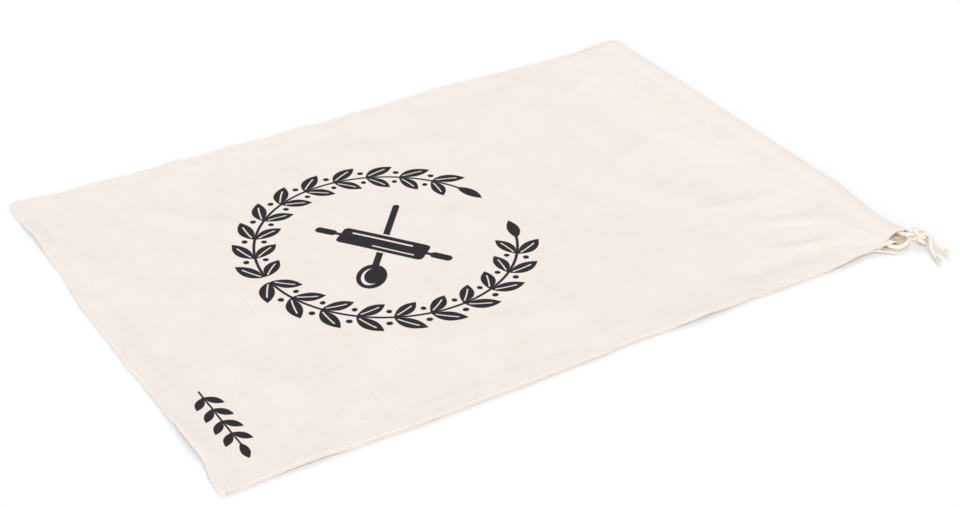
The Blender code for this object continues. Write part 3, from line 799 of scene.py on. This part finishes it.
def attribute(tree, name):
    """A mesh's own coordinates: the vector, and its three parts."""
    node = tree.nodes.new("ShaderNodeAttribute")
    node.attribute_name = name
    parts = tree.nodes.new("ShaderNodeSeparateXYZ")
    tree.links.new(node.outputs["Vector"], parts.inputs[0])
    return node.outputs["Vector"], [Value(tree, parts.outputs[k]) for k in range(3)]


def new_material(name, roughness, sheen, specular=LINEN_SPECULAR):
    """A dull material with some sheen, its node tree and its shader."""
    material = bpy.data.materials.new(name)
    material.use_nodes = True
    shader = material.node_tree.nodes["Principled BSDF"]
    for socket, value in (("Roughness", roughness), ("Specular IOR Level", specular),
                          ("Sheen Weight", sheen), ("Sheen Roughness", 0.5)):
        shader.inputs[socket].default_value = value
    return material, material.node_tree, shader


def mixed(tree, share, first, second):
    """A colour between two, each a socket or a plain colour, at a Value's share."""
    node = tree.nodes.new("ShaderNodeMix")
    node.data_type = "RGBA"
    for slot, value in ((node.inputs[0], share), (node.inputs[6], first), (node.inputs[7], second)):
        if isinstance(value, tuple):
            slot.default_value = (*value, 1.0)
        else:
            tree.links.new(value.socket if isinstance(value, Value) else value, slot)
    return node.outputs[2]


def bump(tree, shader, height, distance, strength):
    """Fine relief from a height, where 1 is the distance in metres."""
    node = tree.nodes.new("ShaderNodeBump")
    node.inputs["Strength"].default_value = strength
    node.inputs["Distance"].default_value = distance
    tree.links.new(height.socket, node.inputs["Height"])
    tree.links.new(node.outputs["Normal"], shader.inputs["Normal"])


def wreath(x, y):
    """A wreath of two leafy branches, open at the top."""
    ring, sector, branch = 76.0, 20.5, 205.0  # radius, one pair of leaves, and a branch's length
    along = abs(x.work("ARCTAN2", -y)) * ring  # from the foot of the wreath, along either branch
    off = abs(length_of(x, y) - ring)
    middle = (along * (1.0 / sector)).work("FLOOR") * sector + sector / 2
    own = along - middle
    leaf_u, leaf_w = turned(own, off - 6.6, math.radians(38))
    leaves = leaf(leaf_u, leaf_w, 9.8, 4.3)
    rib = (-abs(leaf_w) + 0.42).least(-abs(leaf_u + 1.2) + 6.2)
    leaves = leaves.least(-rib)
    berries = -length_of(-abs(own) + sector / 2, off - 5.6) + 1.75
    berries = berries.least(-along + (branch - 4.0))
    stem = -off + 0.85
    inside = (-along + branch).least(along - 3.0)
    tip = leaf(along - (branch + 9.0), off, 10.0, 3.7)
    return leaves.most(berries).most(stem).least(inside).most(tip)


def utensils(x, y):
    """A rolling pin crossed over a wooden spoon."""
    pin_u, pin_w = turned(x, y, math.radians(38))
    far = abs(pin_u)
    body = bar(pin_u, pin_w, 27.0, 8.2, 3.0)
    handles = bar(far - 36.0, pin_w, 6.6, 2.9, 2.6).most(bar(far - 28.6, pin_w, 2.6, 1.3, 0.5))
    light = bar(pin_u + 2.0, pin_w - 3.9, 19.0, 0.75, 0.7)
    light = light.most(bar(pin_u - 8.0, pin_w + 4.6, 13.0, 0.55, 0.5))
    pin = body.least(-light).most(handles)
    round_pin = bar(pin_u, pin_w, 28.4, 9.6, 4.4).most(bar(far - 36.0, pin_w, 8.0, 4.3, 4.0))
    spoon_u, spoon_w = turned(x, y, math.radians(-40))
    bowl = oval(spoon_u - 35.0, spoon_w, 12.5, 8.6)
    hollow = oval(spoon_u - 35.5, spoon_w + 0.6, 8.6, 5.2)
    hollow = hollow.least(-oval(spoon_u - 34.3, spoon_w - 0.8, 8.0, 5.0))
    handle = bar(spoon_u + 8.0, spoon_w, 36.0, 2.0, 1.9)
    return bowl.least(-hollow).most(handle).least(-round_pin).most(pin)


def sprig(x, y):
    """A small straight sprig of leaf pairs."""
    sector, pairs = 11.0, 4
    off = abs(y)
    own = x - ((x * (1.0 / sector)).work("FLOOR") * sector + sector / 2)
    leaf_u, leaf_w = turned(own, off - 4.0, math.radians(40))
    leaves = leaf(leaf_u, leaf_w, 6.0, 2.5)
    span = sector * pairs / 2
    inside = -abs(x) + span
    stem = (-off + 0.55).least(-abs(x + 2.0) + span + 3.0)
    tip = leaf(x - (span + 6.0), off, 6.5, 2.5)
    return leaves.least(inside).most(stem).most(tip)


def cloth_material(name, printed):
    """Plain weave linen with slubs and flecks, seen from both sides, with its print, painted shade in the
    weave's hollows, and a painted glow of light through the cloth on its wrong side.
    """
    material, tree, shader = new_material(name, 0.9, LINEN_SHEEN)
    vector, (across, along, right_side_not_glow) = attribute(tree, "cloth")
    wander_a = (noise(tree, vector, 0.09, 2.0, (1.0, 0.35, 0.0)) - 0.5) * YARN_WANDER
    wander_b = (noise(tree, vector, 0.09, 2.0, (0.35, 1.0, 0.0)) - 0.5) * YARN_WANDER
    warp = (across + wander_a) * (1.0 / WEAVE_PITCH)
    weft = (along + wander_b) * (1.0 / WEAVE_PITCH)
    over = (warp.work("FLOOR") + weft.work("FLOOR")) * 0.5
    parity = (over - over.work("FLOOR")) * 4.0 - 1.0
    warp_off = warp.work("FRACT") * 2.0 - 1.0
    weft_off = weft.work("FRACT") * 2.0 - 1.0
    warp_round = -(warp_off * warp_off) + 1.0
    weft_round = -(weft_off * weft_off) + 1.0
    warp_high = warp_round.root() * (parity * weft_round * WEAVE_SWING + WEAVE_MIDDLE)
    weft_high = weft_round.root() * (-(parity * warp_round) * WEAVE_SWING + WEAVE_MIDDLE)
    weave = warp_high.most(weft_high)
    # Yarns that run thick and thin both ways, soft patches, and flecks
    slub_a = noise(tree, vector, 1.0, 2.0, (1.35, 0.028, 0.0))
    slub_b = noise(tree, vector, 1.0, 2.0, (0.028, 1.35, 0.0))
    mottle = noise(tree, vector, 0.035, 3.0)
    fleck = noise(tree, vector, 1.6, 1.0, (1.0, 0.4, 0.0))
    # The weave's height also sets the tone: painted shade in the hollows between yarns; the slubs, soft
    # patches and flecks are the linen's own
    tone = (slub_a + slub_b - 1.0) * 0.20 + (mottle - 0.5) * 0.12 + (weave - WEAVE_MIDDLE) * 0.20 + 1.0
    tone = tone - (fleck - 0.72).most(0.0) * 0.9
    sides = []
    for colour, darkest in (WRONG_SIDE_PAINTED_GLOW, RIGHT_SIDE):
        dark = tuple(part * shade for part, shade in zip(colour, darkest))
        light = tuple(min(WHITEST, part * shade) for part, shade in zip(colour, LIGHTEST))
        sides.append(mixed(tree, (tone - 0.62) * 1.38, dark, light))
    # Where the share is 0 the cloth takes the wrong side's painted glow of light through the cloth
    cloth = mixed(tree, right_side_not_glow, *sides)
    height = weave + (slub_a + slub_b) * 0.7 + noise(tree, vector, 0.5, 3.0) * 1.2
    if printed:
        ring, tools, mark = (draw(across - at_x, along - at_y) for draw, (at_x, at_y) in
                             ((wreath, WREATH_AT), (utensils, UTENSILS_AT), (sprig, SPRIG_AT)))
        ragged = (weave - 0.6) * 0.25
        ink = (ring.most(tools).most(mark) + ragged).soft_step(INK_EDGE) * right_side_not_glow
        ink = ink * (weave * 0.08 + 0.935).least(1.0)
        cloth = mixed(tree, ink, cloth, INK)
        tree.links.new((-ink * 0.09 + LINEN_SHEEN).socket, shader.inputs["Sheen Weight"])
        tree.links.new((-ink * 0.20 + LINEN_SPECULAR).socket, shader.inputs["Specular IOR Level"])
    tree.links.new(cloth, shader.inputs["Base Color"])
    bump(tree, shader, height, 0.00011, 0.75)
    return material


def cotton_material(name, colours):
    """Soft twisted cotton, with painted shade between its plies and in the troughs between its yarns."""
    material, tree, shader = new_material(name, 0.92, 0.25)
    vector, (far, lobe, _) = attribute(tree, "cord")
    yarns = (far * 4.6 + lobe * 5.5).work("SINE") * 0.5 + 0.5
    fibre = noise(tree, vector, 2.4, 3.0, (1.0, 3.0, 1.0))
    deep = abs(lobe) * 0.95
    # Painted shade: darker deep between the plies and in the yarn stripes' troughs; the fibre noise is the
    # cotton's own
    tone = -(deep * deep) * 0.55 + yarns * 0.20 + fibre * 0.30 + 0.48
    colour = mixed(tree, tone, *colours)
    tree.links.new(colour, shader.inputs["Base Color"])
    bump(tree, shader, yarns * 0.6 + fibre * 0.8, 0.00016, 0.7)
    return material


def thread_material():
    """Twisted sewing thread."""
    material, tree, shader = new_material("sewing thread", 0.7, 0.2)
    node = tree.nodes.new("ShaderNodeTexCoord")
    twist = noise(tree, node.outputs["Object"], 900.0, 2.0, (1.0, 0.6, 0.6))
    colour = mixed(tree, twist, *THREAD_COLOURS)
    tree.links.new(colour, shader.inputs["Base Color"])
    bump(tree, shader, twist, 0.00006, 0.6)
    return material


# ---- floor, light and camera

FLOOR_COLOUR = (0.882, 0.885, 0.892, 1.0)
WORLD_STRENGTH = 0.57
# Wide, soft suns: name, the way the light goes, strength, spread in degrees
SUNS = (("key", (0.62, -0.42, -0.70), 0.95, 30.0), ("front", (-0.75, 0.60, -0.55), 2.3, 82.0))


def make_floor():
    """A plain pale floor."""
    half = 9.0
    material, _, shader = new_material("pale floor", 1.0, 0.0, 0.0)
    shader.inputs["Base Color"].default_value = FLOOR_COLOUR
    corners = [(-half, -half, 0), (half, -half, 0), (half, half, 0), (-half, half, 0)]
    floor = add_piece("floor", corners, [(0, 1, 2, 3)], material)


def make_light():
    """Even white light from all round, and two wide suns."""
    world = bpy.data.worlds.new("studio")
    world.use_nodes = True
    background = world.node_tree.nodes["Background"]
    background.inputs["Color"].default_value = (1.0, 1.0, 1.0, 1.0)
    background.inputs["Strength"].default_value = WORLD_STRENGTH
    bpy.context.scene.world = world
    for name, way, strength, spread in SUNS:
        light = bpy.data.lights.new(name, "SUN")
        light.energy = strength
        light.angle = math.radians(spread)
        lamp = bpy.data.objects.new(name, light)
        lamp.rotation_mode = "QUATERNION"
        lamp.rotation_quaternion = Vector(way).to_track_quat("-Z", "Y")
        bpy.context.collection.objects.link(lamp)


CAMERA_TARGET = Vector((0.03271, -0.00565, 0.0))
CAMERA_DISTANCE = 1.00293
CAMERA_AZIMUTH = math.radians(57.1838)
CAMERA_ELEVATION = math.radians(32.8497)
CAMERA_ROLL = math.radians(1.2475)
CAMERA_LENS, CAMERA_SENSOR = 65.29, 36.0


def make_camera():
    """The camera, looking at its target from its azimuth, elevation and distance."""
    back = Vector((math.sin(CAMERA_AZIMUTH) * math.cos(CAMERA_ELEVATION),
                   -math.cos(CAMERA_AZIMUTH) * math.cos(CAMERA_ELEVATION), math.sin(CAMERA_ELEVATION)))
    level = (-back).cross(Vector((0.0, 0.0, 1.0))).normalized()
    upright = level.cross(-back)
    right = level * math.cos(CAMERA_ROLL) + upright * math.sin(CAMERA_ROLL)
    up = upright * math.cos(CAMERA_ROLL) - level * math.sin(CAMERA_ROLL)
    data = bpy.data.cameras.new("camera")
    data.lens = CAMERA_LENS
    data.sensor_width = CAMERA_SENSOR
    data.clip_start = 0.05
    data.clip_end = 50.0
    camera = bpy.data.objects.new("camera", data)
    turn = Matrix((right, up, back)).transposed().to_4x4()
    camera.matrix_world = Matrix.Translation(CAMERA_TARGET + back * CAMERA_DISTANCE) @ turn
    bpy.context.collection.objects.link(camera)
    bpy.context.scene.camera = camera


# ---- the whole scene

PANELS = (("front", "front_panel", "front_cloth", 1.0), ("back", "back_panel", "back_cloth", -1.0))


def main():
    """The stage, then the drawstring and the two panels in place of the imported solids."""
    bpy.context.scene.view_settings.view_transform = "Standard"
    make_camera()
    make_light()
    make_floor()

    cotton = cotton_material("cotton cord", COTTON_CORD)
    yarn = cotton_material("cotton yarn", COTTON_YARN_PAINTED_LIGHTER)
    cord, ends, way = make_cord(cotton, yarn)
    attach(cord, "root")
    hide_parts("drawstring")
    for end in ends:
        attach(end, "root")

    thread = thread_material()
    for panel, node, slot, turn in PANELS:  # turn: the way that a panel's right side faces
        stuff = cloth_material(panel + " linen", panel == "front")
        points, cloth, outer_rows = surface(panel)
        grid, place, faces = extended(points, cloth, outer_rows, turn)
        piece = thick_cloth(panel + "_cloth", grid, place, faces, turn, stuff)
        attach(piece, "root")
        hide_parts(node)
        row = len(BODY_ROWS) + len(SLOPE_ROWS) + int(np.argmin(np.abs(TUNNEL_ROWS - STITCH_LINE)))
        stitches = make_stitches(panel + "_casing_stitches", points[:outer_rows], row, turn, thread)
        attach(stitches, "root")


main()
